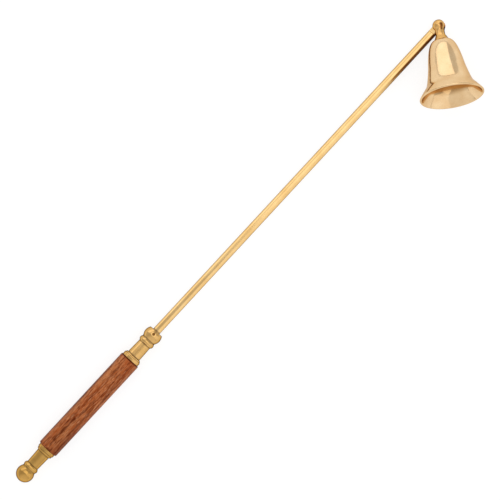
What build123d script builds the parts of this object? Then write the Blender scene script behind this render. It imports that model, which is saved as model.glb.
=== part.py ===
from build123d import *
from math import asin, cos, hypot, radians, sin, sqrt
import os

# A candle snuffer: a brass bell hinged on a long brass rod, with a hardwood grip
# clamped between a turned ferrule and a turned pommel.
# Millimetres. The origin is the middle of the grip, +X runs along the rod to the bell,
# and +Z is up as the snuffer lies on a table with its bell on its side.

# Clearances, and the overrun of every cut
overrun = 1.0
seat_clearance = 0.02
running_clearance = 0.05
slot_clearance = 0.08
tie_rod_clearance = 0.15

# Grip
grip_length = 67.0
grip_radius = 6.0
grip_end_round = 0.7

# Ferrule, measured from the grip towards the rod
ferrule_flange_radius = 5.4
ferrule_flange_length = 2.9
ferrule_flange_round = 1.0
ferrule_neck_radius = 4.04
ferrule_neck_end_radius = 3.79
ferrule_neck_length = 8.9
ferrule_bead_radius = 4.62
ferrule_bead_length = 3.0
ferrule_ball_radius = 5.1
ferrule_ball_face_share = 0.6
ferrule_face_round = 0.5
ferrule_web = 2.6
ferrule_mouth_chamfer = 0.35
stem_socket_depth = 12.0

# Pommel, measured from the grip towards its tip
pommel_flange_radius = 5.2
pommel_flange_length = 3.15
pommel_flange_round = 1.3
pommel_neck_radius = 3.95
pommel_neck_end_radius = 3.63
pommel_neck_length = 8.9
pommel_bead_radius = 4.45
pommel_bead_length = 2.8
pommel_ball_radius = 5.05
pommel_thread_depth = 9.0

# Where a bead meets its ball, as a share of the ball's radius from the ball's middle
ball_foot_share = 0.65

# Tie rod through the grip
tie_rod_radius = 2.0
tie_rod_end_gap = 0.5
tie_rod_chamfer = 0.4

# Stem, its flat tongue and the pin that holds its tail in the ferrule
stem_radius = 2.3
stem_length = 228.825
stem_tail_gap = 0.2
stem_tail_chamfer = 0.3
tongue_thickness = 2.3
tongue_length = 5.6
tongue_cutter_radius = 0.7
stem_pin_radius = 0.65
stem_pin_offset = 1.15
stem_pin_dome = 0.15

# Hinge
hinge_pin_radius = 1.0
hinge_pin_dome = 0.25
plan_angle = 52.2

# Fork stud, measured from the hinge pin towards the bell
fork_ball_radius = 3.6
fork_ball_end_share = 0.55
fork_waist_distance = 4.6
fork_waist_radius = 2.7
fork_skirt_distance = 9.0
fork_skirt_radius = 4.2
fork_skirt_edge = 0.35
fork_skirt_slope = 0.55
fork_slot_depth = 6.4
fork_spigot_radius = 2.0
fork_rivet_radius = 2.9
fork_rivet_height = 0.8

# Bell
bell_mouth_radius = 18.3
bell_height = 33.3
bell_wall = 1.15
bell_lip_round = 0.25
bell_lip_angle = 32.5
bell_body_share = 0.494
bell_body_radius = 10.5
bell_body_angle = 12.4
bell_crown_pull = 4.4
bell_shoulder_pull = 3.5
bell_shoulder_round = 4.5
bell_waist_pull = 13.5
bell_flare_pull = 10.0

# Lengths of the two fittings: each adds up from its flange, neck, bead and ball
ferrule_bead_end = ferrule_flange_length + ferrule_neck_length + ferrule_bead_length
ferrule_ball_distance = ferrule_bead_end + ball_foot_share * ferrule_ball_radius
ferrule_length = ferrule_ball_distance + ferrule_ball_face_share * ferrule_ball_radius
ferrule_thread_depth = ferrule_length - stem_socket_depth - ferrule_web
pommel_bead_end = pommel_flange_length + pommel_neck_length + pommel_bead_length
pommel_ball_distance = pommel_bead_end + ball_foot_share * pommel_ball_radius

# Places along the rod
ferrule_seat = grip_length / 2
ferrule_face = ferrule_seat + ferrule_length
stem_pin_x = ferrule_seat + ferrule_ball_distance + stem_pin_offset
stem_tail = ferrule_face - stem_socket_depth + stem_tail_gap
pommel_seat = -grip_length / 2
pin_place = Vector(ferrule_face + stem_length, 0, 0)

# The bell lies on its side, with its rim and the stud's ball both on the table.
# That gives the lift of its axis, and the plan angle gives the turn from the rod.
mouth_distance = fork_skirt_distance + bell_height
mouth_reach = hypot(bell_mouth_radius, mouth_distance)
bell_lift = asin(bell_mouth_radius / mouth_reach) - asin(fork_ball_radius / mouth_reach)
rod_direction = Vector(1, 0, 0)
bell_direction = Vector(
    -cos(radians(plan_angle)) * cos(bell_lift),
    -sin(radians(plan_angle)) * cos(bell_lift),
    sin(bell_lift),
)
hinge_direction = bell_direction.cross(rod_direction).normalized()

# The rod and the bell's axis both lie in the swing plane, and the hinge pin is square to it.
along_bell = Plane(origin=pin_place, x_dir=bell_direction, z_dir=hinge_direction)
along_rod = Plane(origin=pin_place, x_dir=rod_direction, z_dir=hinge_direction)
across_tongue = Plane(origin=pin_place, x_dir=rod_direction, z_dir=-along_rod.y_dir)
bell_turning_axis = Axis(pin_place, bell_direction)


def turned_fitting(
    outward,
    flange_radius, flange_length, flange_round,
    neck_radius, neck_end_radius, neck_length,
    bead_radius, bead_length,
    ball_radius, ball_distance, length,
):
    """Turns a fitting with a flange, a tapered neck, a bead and a ball, away from the grip."""
    neck_end = flange_length + neck_length
    bead_end = neck_end + bead_length
    bead_foot_radius = sqrt(ball_radius**2 - (ball_distance - bead_end) ** 2)
    face_radius = sqrt(max(ball_radius**2 - (length - ball_distance) ** 2, 0))
    round_start = (flange_length - flange_round, flange_radius)
    round_end = (flange_length, flange_radius - flange_round)
    with BuildPart() as fitting:
        with BuildSketch(outward):
            with BuildLine():
                Polyline((0, 0), (0, flange_radius), round_start)
                TangentArc(round_start, round_end, tangent=(1, 0))
                Polyline(round_end, (flange_length, neck_radius), (neck_end, neck_end_radius))
                ThreePointArc(
                    (neck_end, neck_end_radius),
                    (neck_end + bead_length / 2, bead_radius),
                    (bead_end, bead_foot_radius),
                )
                ThreePointArc((bead_end, bead_foot_radius), (ball_distance, ball_radius), (length, face_radius))
                if face_radius > 0:
                    Line((length, face_radius), (length, 0))
                Line((length, 0), (0, 0))
            make_face()
        revolve(axis=Axis.X)
    return fitting


def domed_pin(middle, radius, half_length, dome):
    """Turns a pin with low domed ends; the middle is a plane whose X direction is the pin's axis."""
    with BuildPart() as pin:
        with BuildSketch(middle):
            with BuildLine():
                Line((-half_length, radius), (half_length, radius))
                bow = (radius**2 + dome**2) / (2 * dome)
                RadiusArc((half_length, radius), (half_length + dome, 0), bow)
                Line((half_length + dome, 0), (-half_length - dome, 0))
                RadiusArc((-half_length - dome, 0), (-half_length, radius), bow)
            make_face()
        revolve(axis=Axis(middle.origin, middle.x_dir))
    return pin


# Grip: a wooden cylinder with rounded ends, drilled through for the tie rod
with BuildPart() as grip:
    with BuildSketch(Plane.YZ.offset(pommel_seat)):
        Circle(grip_radius)
    extrude(amount=grip_length)
    fillet(grip.edges(), grip_end_round)
    with BuildSketch(Plane.YZ.offset(pommel_seat - overrun)):
        Circle(tie_rod_radius + tie_rod_clearance)
    extrude(amount=grip_length + 2 * overrun, mode=Mode.SUBTRACT)

# Ferrule: its rear bore holds the tie rod, its front bore the stem's tail, and a pin crosses the ball
ferrule_blank = turned_fitting(
    Plane(origin=(ferrule_seat, 0, 0), x_dir=(1, 0, 0), z_dir=(0, 0, 1)),
    ferrule_flange_radius, ferrule_flange_length, ferrule_flange_round,
    ferrule_neck_radius, ferrule_neck_end_radius, ferrule_neck_length,
    ferrule_bead_radius, ferrule_bead_length,
    ferrule_ball_radius, ferrule_ball_distance, ferrule_length,
)
with BuildPart() as ferrule:
    add(ferrule_blank.part)
    with BuildSketch(Plane.YZ.offset(ferrule_seat - overrun)):
        Circle(tie_rod_radius + seat_clearance)
    extrude(amount=ferrule_thread_depth + overrun, mode=Mode.SUBTRACT)
    with BuildSketch(Plane.YZ.offset(ferrule_face - stem_socket_depth)):
        Circle(stem_radius + seat_clearance)
    extrude(amount=stem_socket_depth + overrun, mode=Mode.SUBTRACT)
    face_edges = ferrule.edges().filter_by(GeomType.CIRCLE).group_by(Axis.X)[-1].sort_by(SortBy.RADIUS)
    chamfer(face_edges[0], ferrule_mouth_chamfer)
    face_edge = ferrule.edges().filter_by(GeomType.CIRCLE).group_by(Axis.X)[-1].sort_by(SortBy.RADIUS)[-1]
    fillet(face_edge, ferrule_face_round)
    with BuildSketch(Plane.XY.offset(-ferrule_ball_radius - overrun)):
        with Locations((stem_pin_x, 0)):
            Circle(stem_pin_radius + seat_clearance)
    extrude(amount=2 * (ferrule_ball_radius + overrun), mode=Mode.SUBTRACT)

# Pommel: the same family of shapes, ending in a whole ball, bored for the tie rod
pommel_blank = turned_fitting(
    Plane(origin=(pommel_seat, 0, 0), x_dir=(-1, 0, 0), z_dir=(0, 0, 1)),
    pommel_flange_radius, pommel_flange_length, pommel_flange_round,
    pommel_neck_radius, pommel_neck_end_radius, pommel_neck_length,
    pommel_bead_radius, pommel_bead_length,
    pommel_ball_radius, pommel_ball_distance, pommel_ball_distance + pommel_ball_radius,
)
with BuildPart() as pommel:
    add(pommel_blank.part)
    with BuildSketch(Plane.YZ.offset(pommel_seat - pommel_thread_depth)):
        Circle(tie_rod_radius + seat_clearance)
    extrude(amount=pommel_thread_depth + overrun, mode=Mode.SUBTRACT)

# Tie rod: joins the pommel and the ferrule through the grip
tie_rod_start = pommel_seat - pommel_thread_depth + tie_rod_end_gap
tie_rod_end = ferrule_seat + ferrule_thread_depth - tie_rod_end_gap
with BuildPart() as tie_rod:
    with BuildSketch(Plane.YZ.offset(tie_rod_start)):
        Circle(tie_rod_radius)
    extrude(amount=tie_rod_end - tie_rod_start)
    chamfer(tie_rod.edges(), tie_rod_chamfer)

# Stem: a round rod with a pinned tail; its other end is milled to a flat, round-ended tongue
with BuildPart() as stem:
    with BuildSketch(Plane.YZ.offset(stem_tail)):
        Circle(stem_radius)
    extrude(amount=pin_place.X + stem_radius + overrun - stem_tail)
    chamfer(stem.edges().group_by(Axis.X)[0], stem_tail_chamfer)
    with BuildSketch(along_rod):
        outline_length = pin_place.X - stem_tail + overrun
        with Locations((-outline_length / 2, 0)):
            Rectangle(outline_length, 2 * (stem_radius + overrun))
        Circle(stem_radius)
    extrude(amount=stem_radius + overrun, both=True, mode=Mode.INTERSECT)
    with BuildSketch(across_tongue):
        flat_width = stem_radius + overrun - tongue_thickness / 2
        flat_length = tongue_length + stem_radius + 2 * overrun
        flat_middle_x = flat_length / 2 - tongue_length
        flat_middle_y = tongue_thickness / 2 + flat_width / 2
        with Locations((flat_middle_x, flat_middle_y), (flat_middle_x, -flat_middle_y)):
            RectangleRounded(flat_length, flat_width, tongue_cutter_radius)
    extrude(amount=stem_radius + overrun, both=True, mode=Mode.SUBTRACT)
    with BuildSketch(along_rod):
        Circle(hinge_pin_radius + running_clearance)
    extrude(amount=stem_radius + overrun, both=True, mode=Mode.SUBTRACT)
    with BuildSketch(Plane.XY.offset(-stem_radius - overrun)):
        with Locations((stem_pin_x, 0)):
            Circle(stem_pin_radius + seat_clearance)
    extrude(amount=2 * (stem_radius + overrun), mode=Mode.SUBTRACT)

# Stem pin: crosses the ferrule's ball and the stem's tail
stem_pin_reach = sqrt(ferrule_ball_radius**2 - stem_pin_offset**2)
stem_pin = domed_pin(
    Plane(origin=(stem_pin_x, 0, 0), x_dir=(0, 0, 1), z_dir=(0, 1, 0)),
    stem_pin_radius, stem_pin_reach, stem_pin_dome,
)

# Fork stud: a ball-topped stud slotted for the tongue, with a skirt on the crown and a riveted tail
ball_end = fork_ball_end_share * fork_ball_radius
ball_end_radius = sqrt(fork_ball_radius**2 - ball_end**2)
skirt_edge_start = fork_skirt_distance - fork_skirt_edge
spigot_end = fork_skirt_distance + bell_wall
with BuildPart() as fork_stud:
    with BuildSketch(along_bell):
        with BuildLine():
            ThreePointArc(
                (-fork_ball_radius, 0),
                (0, fork_ball_radius),
                (ball_end, ball_end_radius),
            )
            Spline(
                (ball_end, ball_end_radius),
                (fork_waist_distance, fork_waist_radius),
                (skirt_edge_start, fork_skirt_radius),
                tangents=[(ball_end_radius, -ball_end), (1, fork_skirt_slope)],
            )
            Polyline(
                (skirt_edge_start, fork_skirt_radius),
                (fork_skirt_distance, fork_skirt_radius),
                (fork_skirt_distance, fork_spigot_radius),
                (spigot_end, fork_spigot_radius),
                (spigot_end, fork_rivet_radius),
            )
            RadiusArc(
                (spigot_end, fork_rivet_radius),
                (spigot_end + fork_rivet_height, 0),
                (fork_rivet_radius**2 + fork_rivet_height**2) / (2 * fork_rivet_height),
            )
            Line((spigot_end + fork_rivet_height, 0), (-fork_ball_radius, 0))
        make_face()
    revolve(axis=bell_turning_axis)
    with BuildSketch(along_bell):
        slot_length = fork_ball_radius + overrun + fork_slot_depth
        with Locations((fork_slot_depth - slot_length / 2, 0)):
            Rectangle(slot_length, 2 * (fork_ball_radius + overrun))
    extrude(amount=tongue_thickness / 2 + slot_clearance, both=True, mode=Mode.SUBTRACT)
    with BuildSketch(along_bell):
        Circle(hinge_pin_radius + seat_clearance)
    extrude(amount=fork_ball_radius + overrun, both=True, mode=Mode.SUBTRACT)

# Hinge pin: a rivet through the stud's two ears and the tongue, with its ends peened to low domes
hinge_pin = domed_pin(
    Plane(origin=pin_place, x_dir=hinge_direction, z_dir=bell_direction),
    hinge_pin_radius, sqrt(fork_ball_radius**2 - hinge_pin_radius**2), hinge_pin_dome,
)

# Bell: a turned shell of even wall, holed at the crown and cut flat at the mouth
crown_point = Vector(fork_skirt_distance, fork_skirt_radius)
body_point = Vector(fork_skirt_distance + bell_body_share * bell_height, bell_body_radius)
body_way = Vector(cos(radians(bell_body_angle)), sin(radians(bell_body_angle)))
lip_point = Vector(mouth_distance, bell_mouth_radius)
lip_way = Vector(cos(radians(bell_lip_angle)), sin(radians(bell_lip_angle)))


def wall_points(depth):
    """Returns the poles of the wall's shoulder and flare, at a depth inside the bell's outer face."""
    crown = crown_point + Vector(depth, 0)
    body = body_point + Vector(body_way.Y, -body_way.X) * depth
    lip = lip_point + Vector(lip_way.Y, -lip_way.X) * depth
    tightening = 1 - depth / bell_shoulder_round
    crown_pull = Vector(0, bell_crown_pull) * tightening
    shoulder_pull = body_way * bell_shoulder_pull * tightening
    shoulder = [crown, crown + crown_pull, body - shoulder_pull, body]
    flare = [body, body + body_way * bell_waist_pull, lip - lip_way * bell_flare_pull, lip]
    return shoulder, flare


outer_shoulder, outer_flare = wall_points(0)
inner_shoulder, inner_flare = wall_points(bell_wall)
with BuildPart() as bell:
    with BuildSketch(along_bell) as bell_section:
        with BuildLine():
            Bezier(*outer_shoulder)
            Bezier(*outer_flare)
            Line(outer_flare[-1], inner_flare[-1])
            Bezier(*inner_flare)
            Bezier(*inner_shoulder)
            Polyline(
                inner_shoulder[0],
                (spigot_end, fork_spigot_radius + seat_clearance),
                (fork_skirt_distance, fork_spigot_radius + seat_clearance),
                outer_shoulder[0],
            )
        make_face()
        with Locations((mouth_distance + bell_wall, bell_mouth_radius)):
            Rectangle(2 * bell_wall, bell_mouth_radius, mode=Mode.SUBTRACT)
        fillet(bell_section.vertices().group_by(Axis.X)[-1], bell_lip_round)
    revolve(axis=bell_turning_axis)

pieces = {
    "grip": grip,
    "ferrule": ferrule,
    "pommel": pommel,
    "tie_rod": tie_rod,
    "stem": stem,
    "stem_pin": stem_pin,
    "fork_stud": fork_stud,
    "hinge_pin": hinge_pin,
    "bell": bell,
}
os.makedirs("parts", exist_ok=True)
for name, piece in pieces.items():
    piece.part.label = name
    export_step(piece.part, f"parts/{name}.step")
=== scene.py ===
"""Dressed model of a candle snuffer: a brass bell hinged on a brass rod with a hardwood grip.

Sizes in the classes are in millimetres, as on a maker's drawing, and become metres in the meshes.
The frame is the CAD's: +X along the rod to the bell, +Z up, the origin in the middle of the grip.
"""
import logging
from collections.abc import Iterable
from dataclasses import dataclass
from enum import Enum
from math import acos, asin, cos, hypot, pi, radians, sin, sqrt

import bmesh
import bpy
import numpy as np
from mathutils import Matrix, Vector


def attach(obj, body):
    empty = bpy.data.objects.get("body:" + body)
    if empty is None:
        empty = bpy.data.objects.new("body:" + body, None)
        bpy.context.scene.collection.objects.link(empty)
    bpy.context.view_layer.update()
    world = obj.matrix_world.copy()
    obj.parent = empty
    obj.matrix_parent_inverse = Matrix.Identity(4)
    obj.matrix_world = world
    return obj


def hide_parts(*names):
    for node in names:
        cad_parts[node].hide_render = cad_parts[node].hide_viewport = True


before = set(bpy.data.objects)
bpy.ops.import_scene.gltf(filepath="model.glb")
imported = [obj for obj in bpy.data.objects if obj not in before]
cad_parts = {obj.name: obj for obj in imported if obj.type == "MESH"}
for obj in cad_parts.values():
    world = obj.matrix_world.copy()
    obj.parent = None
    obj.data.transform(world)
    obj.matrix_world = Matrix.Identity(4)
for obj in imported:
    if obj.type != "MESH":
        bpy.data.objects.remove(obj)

MM = 0.001
WHITE = "#FFFFFF"
# Points of a profile closer than this, in millimetres, are one, and an added point is left out where it
# is closer to the next than this share of the spacing.
SAME_POINT = 1e-4
CROWDED_SHARE = 0.02
# Places of a mesh closer than this, in metres, are merged.
MERGE_DISTANCE = 0.0005 * MM
# A cut edge that turns by more than this stays sharp.
SHARP_ANGLE = radians(35)
# Keeps a division by a cosine safe where a line folds back on itself.
TINY = 1e-6

Array = np.ndarray
Tree = bpy.types.NodeTree
Socket = bpy.types.NodeSocket
Pair = tuple[float, float]
Triple = tuple[float, float, float]

# The hinge: how far along the rod it lies, the pin's direction, and the way from it to the bell's mouth.
HINGE_X = 283.5
PIN_WAY: Triple = (0.0, 0.3978610, 0.9174457)
BELL_WAY: Triple = (-0.579812, -0.747489, 0.324157)

log = logging.getLogger("snuffer")


class Body(Enum):
    """The frame's bodies, one each side of the hinge."""

    HANDLE = "handle"
    BELL = "bell"


def linear(colour: str) -> tuple[float, float, float, float]:
    """Turns an sRGB hex colour into Blender's linear one.

    Args:
        colour: six hex digits after a hash.

    Returns:
        Red, green, blue and a full alpha.
    """
    shares = np.array([int(colour[i : i + 2], 16) for i in (1, 3, 5)]) / 255
    light = np.where(shares <= 0.04045, shares / 12.92, ((shares + 0.055) / 1.055) ** 2.4)
    return (*light.tolist(), 1.0)


def add_node(tree: Tree, kind: str, inputs: dict | None = None, **settings: object) -> bpy.types.Node:
    """Adds a shader node with its settings and links.

    Args:
        tree: the node tree that gets the node.
        kind: the node's type, without the words ShaderNode.
        inputs: for an input's name or number, its value or the socket that feeds it.
        **settings: the node's own settings.

    Returns:
        The new node.
    """
    node = tree.nodes.new("ShaderNode" + kind)
    for name, value in settings.items():
        setattr(node, name, value)
    for key, value in (inputs or {}).items():
        if isinstance(value, Socket):
            tree.links.new(value, node.inputs[key])
        else:
            node.inputs[key].default_value = value
    return node


def add_object(name: str, data: bpy.types.ID) -> bpy.types.Object:
    """Adds an object to the scene.

    Args:
        name: the object's name.
        data: its mesh or camera.

    Returns:
        The new object, at the origin.
    """
    added = bpy.data.objects.new(name, data)
    bpy.context.scene.collection.objects.link(added)
    return added


def add_quad(name: str, corners: list, material: bpy.types.Material) -> bpy.types.Object:
    """Adds a flat face.

    Args:
        name: the object's name.
        corners: four places in metres, in order round the face.
        material: its material.

    Returns:
        The new object.
    """
    mesh = bpy.data.meshes.new(name)
    mesh.from_pydata(corners, [], [(0, 1, 2, 3)])
    mesh.materials.append(material)
    return add_object(name, mesh)


def blank_material(name: str) -> bpy.types.Material:
    """Makes a material whose node tree is empty.

    Args:
        name: the material's name.

    Returns:
        The new material.
    """
    material = bpy.data.materials.new(name)
    material.use_nodes = True
    material.node_tree.nodes.clear()
    return material


def layered(tree: Tree, ground: str, layers: Iterable[tuple[Socket, str]]) -> Socket:
    """Lays colours over a ground, one after the other.

    Args:
        tree: the material's node tree.
        ground: the colour underneath.
        layers: for each layer, the socket with its share, and its colour.

    Returns:
        The socket with the finished colour.
    """
    colour: object = linear(ground)
    for share, tone in layers:
        mixed = add_node(tree, "Mix", {0: share, 6: colour, 7: linear(tone)}, data_type="RGBA")
        colour = mixed.outputs[2]
    return colour


# Finishes
@dataclass(frozen=True)
class Mottle:
    """Noise in a finish: how large its marks are along the rod and across it, and how many show.

    The sizes are in millimetres. Noise below low shows nothing, and noise above high shows the most
    that the layer gives.
    """

    length: float
    width: float
    detail: float
    low: float
    high: float
    most: float = 1.0
    roughness: float = 0.6
    distortion: float = 0.0

    def noise(self, tree: Tree, place: Socket) -> Socket:
        """The plain noise, drawn out along the rod.

        Args:
            tree: the material's node tree.
            place: the coordinates, in metres.

        Returns:
            The socket with the noise.
        """
        along, across = 1 / (self.length * MM), 1 / (self.width * MM)
        scaled = add_node(tree, "Mapping", {"Vector": place, "Scale": (along, across, across)})
        noise = add_node(
            tree,
            "TexNoise",
            {
                "Vector": scaled.outputs["Vector"],
                "Scale": 1.0,
                "Detail": self.detail,
                "Roughness": self.roughness,
                "Distortion": self.distortion,
            },
        )
        return noise.outputs["Fac"]

    def share(self, tree: Tree, place: Socket) -> Socket:
        """How much of the layer shows.

        Args:
            tree: the material's node tree.
            place: the coordinates, in metres.

        Returns:
            The socket with the share, from none to the most.
        """
        noise = self.noise(tree, place)
        limits = {"Value": noise, "From Min": self.low, "From Max": self.high, "To Max": self.most}
        return add_node(tree, "MapRange", limits).outputs[0]


@dataclass(frozen=True)
class Streaks(Mottle):
    """The marks of the buffing wheel or the die, long and thin unless the wheel went every way."""

    length: float = 9.0
    width: float = 0.5
    detail: float = 4.0
    low: float = 0.3
    high: float = 0.7


@dataclass(frozen=True)
class Brass:
    """Cast or drawn brass, turned and buffed, then left to mellow under a thin lacquer.

    The eye sees a warm metal with soft reflections, mellowed in patches and faintly streaked. Its
    hollows, which the buff misses, are brown, and on the rod, inside the bell and on the stud the same
    brown paints shade and dark reflections. Its outline takes the edge's colour. The specks are
    small pits, about half a millimetre across. Steel has the same make-up in grey.
    """

    name: str
    colour: str
    mellow: str
    hollow: str
    roughness: float
    streaks: Streaks = Streaks()
    streak_depth: float = 0.006
    streak_dulling: Pair = (0.85, 1.2)
    patches: Mottle = Mottle(
        length=7.0, width=7.0, detail=3.0, low=0.35, high=0.7, most=0.75, roughness=0.55
    )
    specks: Mottle = Mottle(
        length=0.45, width=0.45, detail=2.0, low=0.66, high=0.8, most=0.35, roughness=0.5
    )
    lacquer: float = 0.12
    lacquer_roughness: float = 0.15
    edge: str = "#3E2A12"

    def material(self) -> bpy.types.Material:
        """Builds the finish.

        Returns:
            The material, which reads Object coordinates and the hollow attribute.
        """
        material = blank_material(self.name)
        tree = material.node_tree
        place = add_node(tree, "TexCoord").outputs["Object"]
        layers = (
            (self.patches.share(tree, place), self.mellow),
            (self.specks.share(tree, place), self.hollow),
            # The hollow attribute is brown in the fittings' hollows and beside the ferrule's pin, and
            # painted shade and painted reflections on the rod, inside the bell and on the stud.
            (add_node(tree, "Attribute", attribute_name="hollow").outputs["Fac"], self.hollow),
        )
        streaks = self.streaks.noise(tree, place)
        bright, dull = self.streak_dulling
        dullness = add_node(
            tree,
            "MapRange",
            {
                "Value": streaks,
                "From Min": self.streaks.low,
                "From Max": self.streaks.high,
                "To Min": self.roughness * bright,
                "To Max": self.roughness * dull,
            },
        )
        relief = add_node(
            tree, "Bump", {"Height": streaks, "Distance": self.streak_depth * MM, "Strength": 1.0}
        )
        shader = add_node(
            tree,
            "BsdfPrincipled",
            {
                "Base Color": layered(tree, self.colour, layers),
                "Metallic": 1.0,
                "Roughness": dullness.outputs[0],
                "Normal": relief.outputs["Normal"],
                "Specular Tint": linear(self.edge),
                "Coat Weight": self.lacquer,
                "Coat Roughness": self.lacquer_roughness,
            },
        )
        add_node(tree, "OutputMaterial", {"Surface": shader.outputs[0]})
        return material


@dataclass(frozen=True)
class Grain(Mottle):
    """One layer of a wood's figure, with its colour."""

    distortion: float = 0.35
    colour: str = WHITE


@dataclass(frozen=True)
class Rosewood:
    """Sheesham, an Indian rosewood, turned, sanded and oiled.

    The eye sees a reddish brown with paler ribbons, dark streaks along the grain, and open pores
    that show as short dark dashes. The pores, the last layer, are drawn twice as wide as they are in
    the wood, so that they show at an arm's length. The oil leaves a faint warm gloss.
    """

    name: str = "oiled_sheesham"
    ground: str = "#A85428"
    # Also the colour of the painted shade on the grip's sides and of the painted shadow at the ferrule.
    vein: str = "#561C04"
    roughness: float = 0.42
    ior: float = 1.35
    gloss: float = 0.15
    gloss_tint: str = "#F0C4A0"
    pore_depth: float = 0.05
    pore_relief: float = 0.6
    layers: tuple[Grain, ...] = (
        Grain(width=3.2, length=34.0, detail=2.0, low=0.42, high=0.62, colour="#C47848", most=0.85),
        Grain(width=1.3, length=18.0, detail=4.0, low=0.5, high=0.64, colour="#64240A", most=0.85),
        Grain(width=0.45, length=4.0, detail=2.0, low=0.5, high=0.68, colour="#D69A70", most=0.6),
        Grain(width=0.5, length=3.2, detail=2.0, low=0.53, high=0.67, colour="#581C06", most=0.75),
    )

    def material(self) -> bpy.types.Material:
        """Builds the finish.

        Returns:
            The material, which reads Object coordinates and the vein attribute.
        """
        material = blank_material(self.name)
        tree = material.node_tree
        place = add_node(tree, "TexCoord").outputs["Object"]
        layers = [(grain.share(tree, place), grain.colour) for grain in self.layers]
        pores = layers[-1][0]
        # The vein attribute holds the veins, painted shade and a painted shadow.
        layers.append((add_node(tree, "Attribute", attribute_name="vein").outputs["Fac"], self.vein))
        relief = add_node(
            tree,
            "Bump",
            {"Height": pores, "Distance": self.pore_depth * MM, "Strength": self.pore_relief},
            invert=True,
        )
        shader = add_node(
            tree,
            "BsdfPrincipled",
            {
                "Base Color": layered(tree, self.ground, layers),
                "Roughness": self.roughness,
                "IOR": self.ior,
                "Specular IOR Level": self.gloss,
                "Specular Tint": linear(self.gloss_tint),
                "Normal": relief.outputs["Normal"],
            },
        )
        add_node(tree, "OutputMaterial", {"Surface": shader.outputs[0]})
        return material


# Shapes
def arc_points(centre: Pair, radius: float, start: float, end: float, steps: int) -> Array:
    """Points on a circular arc.

    Formula: the centre plus the radius times the cosine and sine of an angle that runs evenly
    from start to end.

    Args:
        centre: the arc's centre, along and out from the axis.
        radius: the arc's radius.
        start: the first angle, in radians from the axis.
        end: the last angle.
        steps: how many points.

    Returns:
        One row of two numbers per point.
    """
    angle = np.linspace(start, end, steps)
    return np.array(centre) + radius * np.column_stack((np.cos(angle), np.sin(angle)))


def circle_through(first: Pair, top: Pair, last: Pair) -> tuple[Array, float]:
    """The circle through three points.

    Formula: the centre is equally far from all three, which gives two linear equations.

    Args:
        first: a point on the circle.
        top: a second point.
        last: a third.

    Returns:
        The centre and the radius.
    """
    a, b, c = (np.array(point, dtype=float) for point in (first, top, last))
    centre = np.linalg.solve(2 * np.array([b - a, c - a]), np.array([b @ b - a @ a, c @ c - a @ a]))
    return centre, float(np.linalg.norm(a - centre))


def outer_meeting(first: Array, first_radius: float, second: Array, second_radius: float) -> Array:
    """Where two circles meet, on the side away from the axis.

    Formula: along the line of centres the meeting lies (R1^2 - R2^2 + d^2) / 2d from the first,
    and beside that line as far as the first circle's radius allows.

    Args:
        first: the first circle's centre.
        first_radius: its radius.
        second: the second circle's centre.
        second_radius: its radius.

    Returns:
        The meeting point, along and out.
    """
    span = second - first
    distance = float(np.linalg.norm(span))
    way = span / distance
    along = (first_radius**2 - second_radius**2 + distance**2) / (2 * distance)
    beside = sqrt(first_radius**2 - along**2)
    return first + way * along + np.array([-way[1], way[0]]) * beside


def bearing_of(centre: Array, point: Array) -> float:
    """The angle from the axis at which a centre sees a point, in radians."""
    return float(np.arctan2(point[1] - centre[1], point[0] - centre[0]))


def bezier_points(poles: Array, steps: int) -> Array:
    """Points on a cubic Bezier curve.

    Formula: the four poles weighted by (1-t)^3, 3t(1-t)^2, 3t^2(1-t) and t^3, for t from 0 to 1.

    Args:
        poles: four rows of two numbers.
        steps: how many points.

    Returns:
        One row of two numbers per point.
    """
    t = np.linspace(0, 1, steps)[:, None]
    weights = np.hstack(((1 - t) ** 3, 3 * t * (1 - t) ** 2, 3 * t**2 * (1 - t), t**3))
    return weights @ np.asarray(poles, dtype=float)


def softened(corners: list[Triple], steps: int = 6) -> Array:
    """A line of straight runs whose corners are rounded to arcs.

    Formula: where the line turns by an angle a at a corner C, the arc of radius R starts and ends
    R tan(a / 2) before and after C, at E and L, and is the weighted mean of E, C and L with the
    weights (1-t)^2, 2t(1-t) cos(a / 2) and t^2.

    Args:
        corners: along, out, and the radius of the arc, for each corner; the ends have none.
        steps: how many points round a corner.

    Returns:
        One row of two numbers per point.
    """
    table = np.array(corners, dtype=float)
    points, radii = table[:, :2], table[:, 2:]
    runs = np.diff(points, axis=0)
    ways = runs / np.linalg.norm(runs, axis=1, keepdims=True)
    before, after = np.vstack((ways[:1], ways)), np.vstack((ways, ways[-1:]))
    half_cos = np.sqrt((1 + np.sum(before * after, axis=1, keepdims=True)) / 2)
    cuts = radii * np.sqrt(1 - half_cos**2) / np.maximum(half_cos, TINY)
    t = np.linspace(0, 1, steps)[None, :, None]
    weights = ((1 - t) ** 2, 2 * t * (1 - t) * half_cos[:, None], t**2)
    anchors = (points - cuts * before, points, points + cuts * after)
    blend = sum(weight * anchor[:, None] for weight, anchor in zip(weights, anchors))
    return (blend / sum(weights)).reshape(-1, 2)


def distance_along(profile: Array) -> Array:
    """How far along a profile each of its points lies."""
    return np.concatenate(([0.0], np.cumsum(np.linalg.norm(np.diff(profile, axis=0), axis=1))))


def stationed(profile: Array, spacing: float) -> Array:
    """A profile with extra points on its long runs.

    Formula: the profile's two coordinates as straight-line functions of the distance along it,
    read at its own distances and at every multiple of the spacing.

    Args:
        profile: one row of two numbers per point.
        spacing: the longest run that may stay.

    Returns:
        The new points, one row of two numbers each.
    """
    steps = np.linalg.norm(np.diff(profile, axis=0), axis=1)
    kept = np.concatenate(([True], steps > SAME_POINT))
    profile = profile[kept]
    distance = distance_along(profile)
    stations = np.union1d(distance, np.arange(0, distance[-1], spacing))
    crowded = np.concatenate((np.diff(stations) < CROWDED_SHARE * spacing, [False]))
    own = np.isin(stations, distance)
    stations = stations[~crowded | own]
    return np.column_stack([np.interp(stations, distance, profile[:, i]) for i in (0, 1)])


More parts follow.
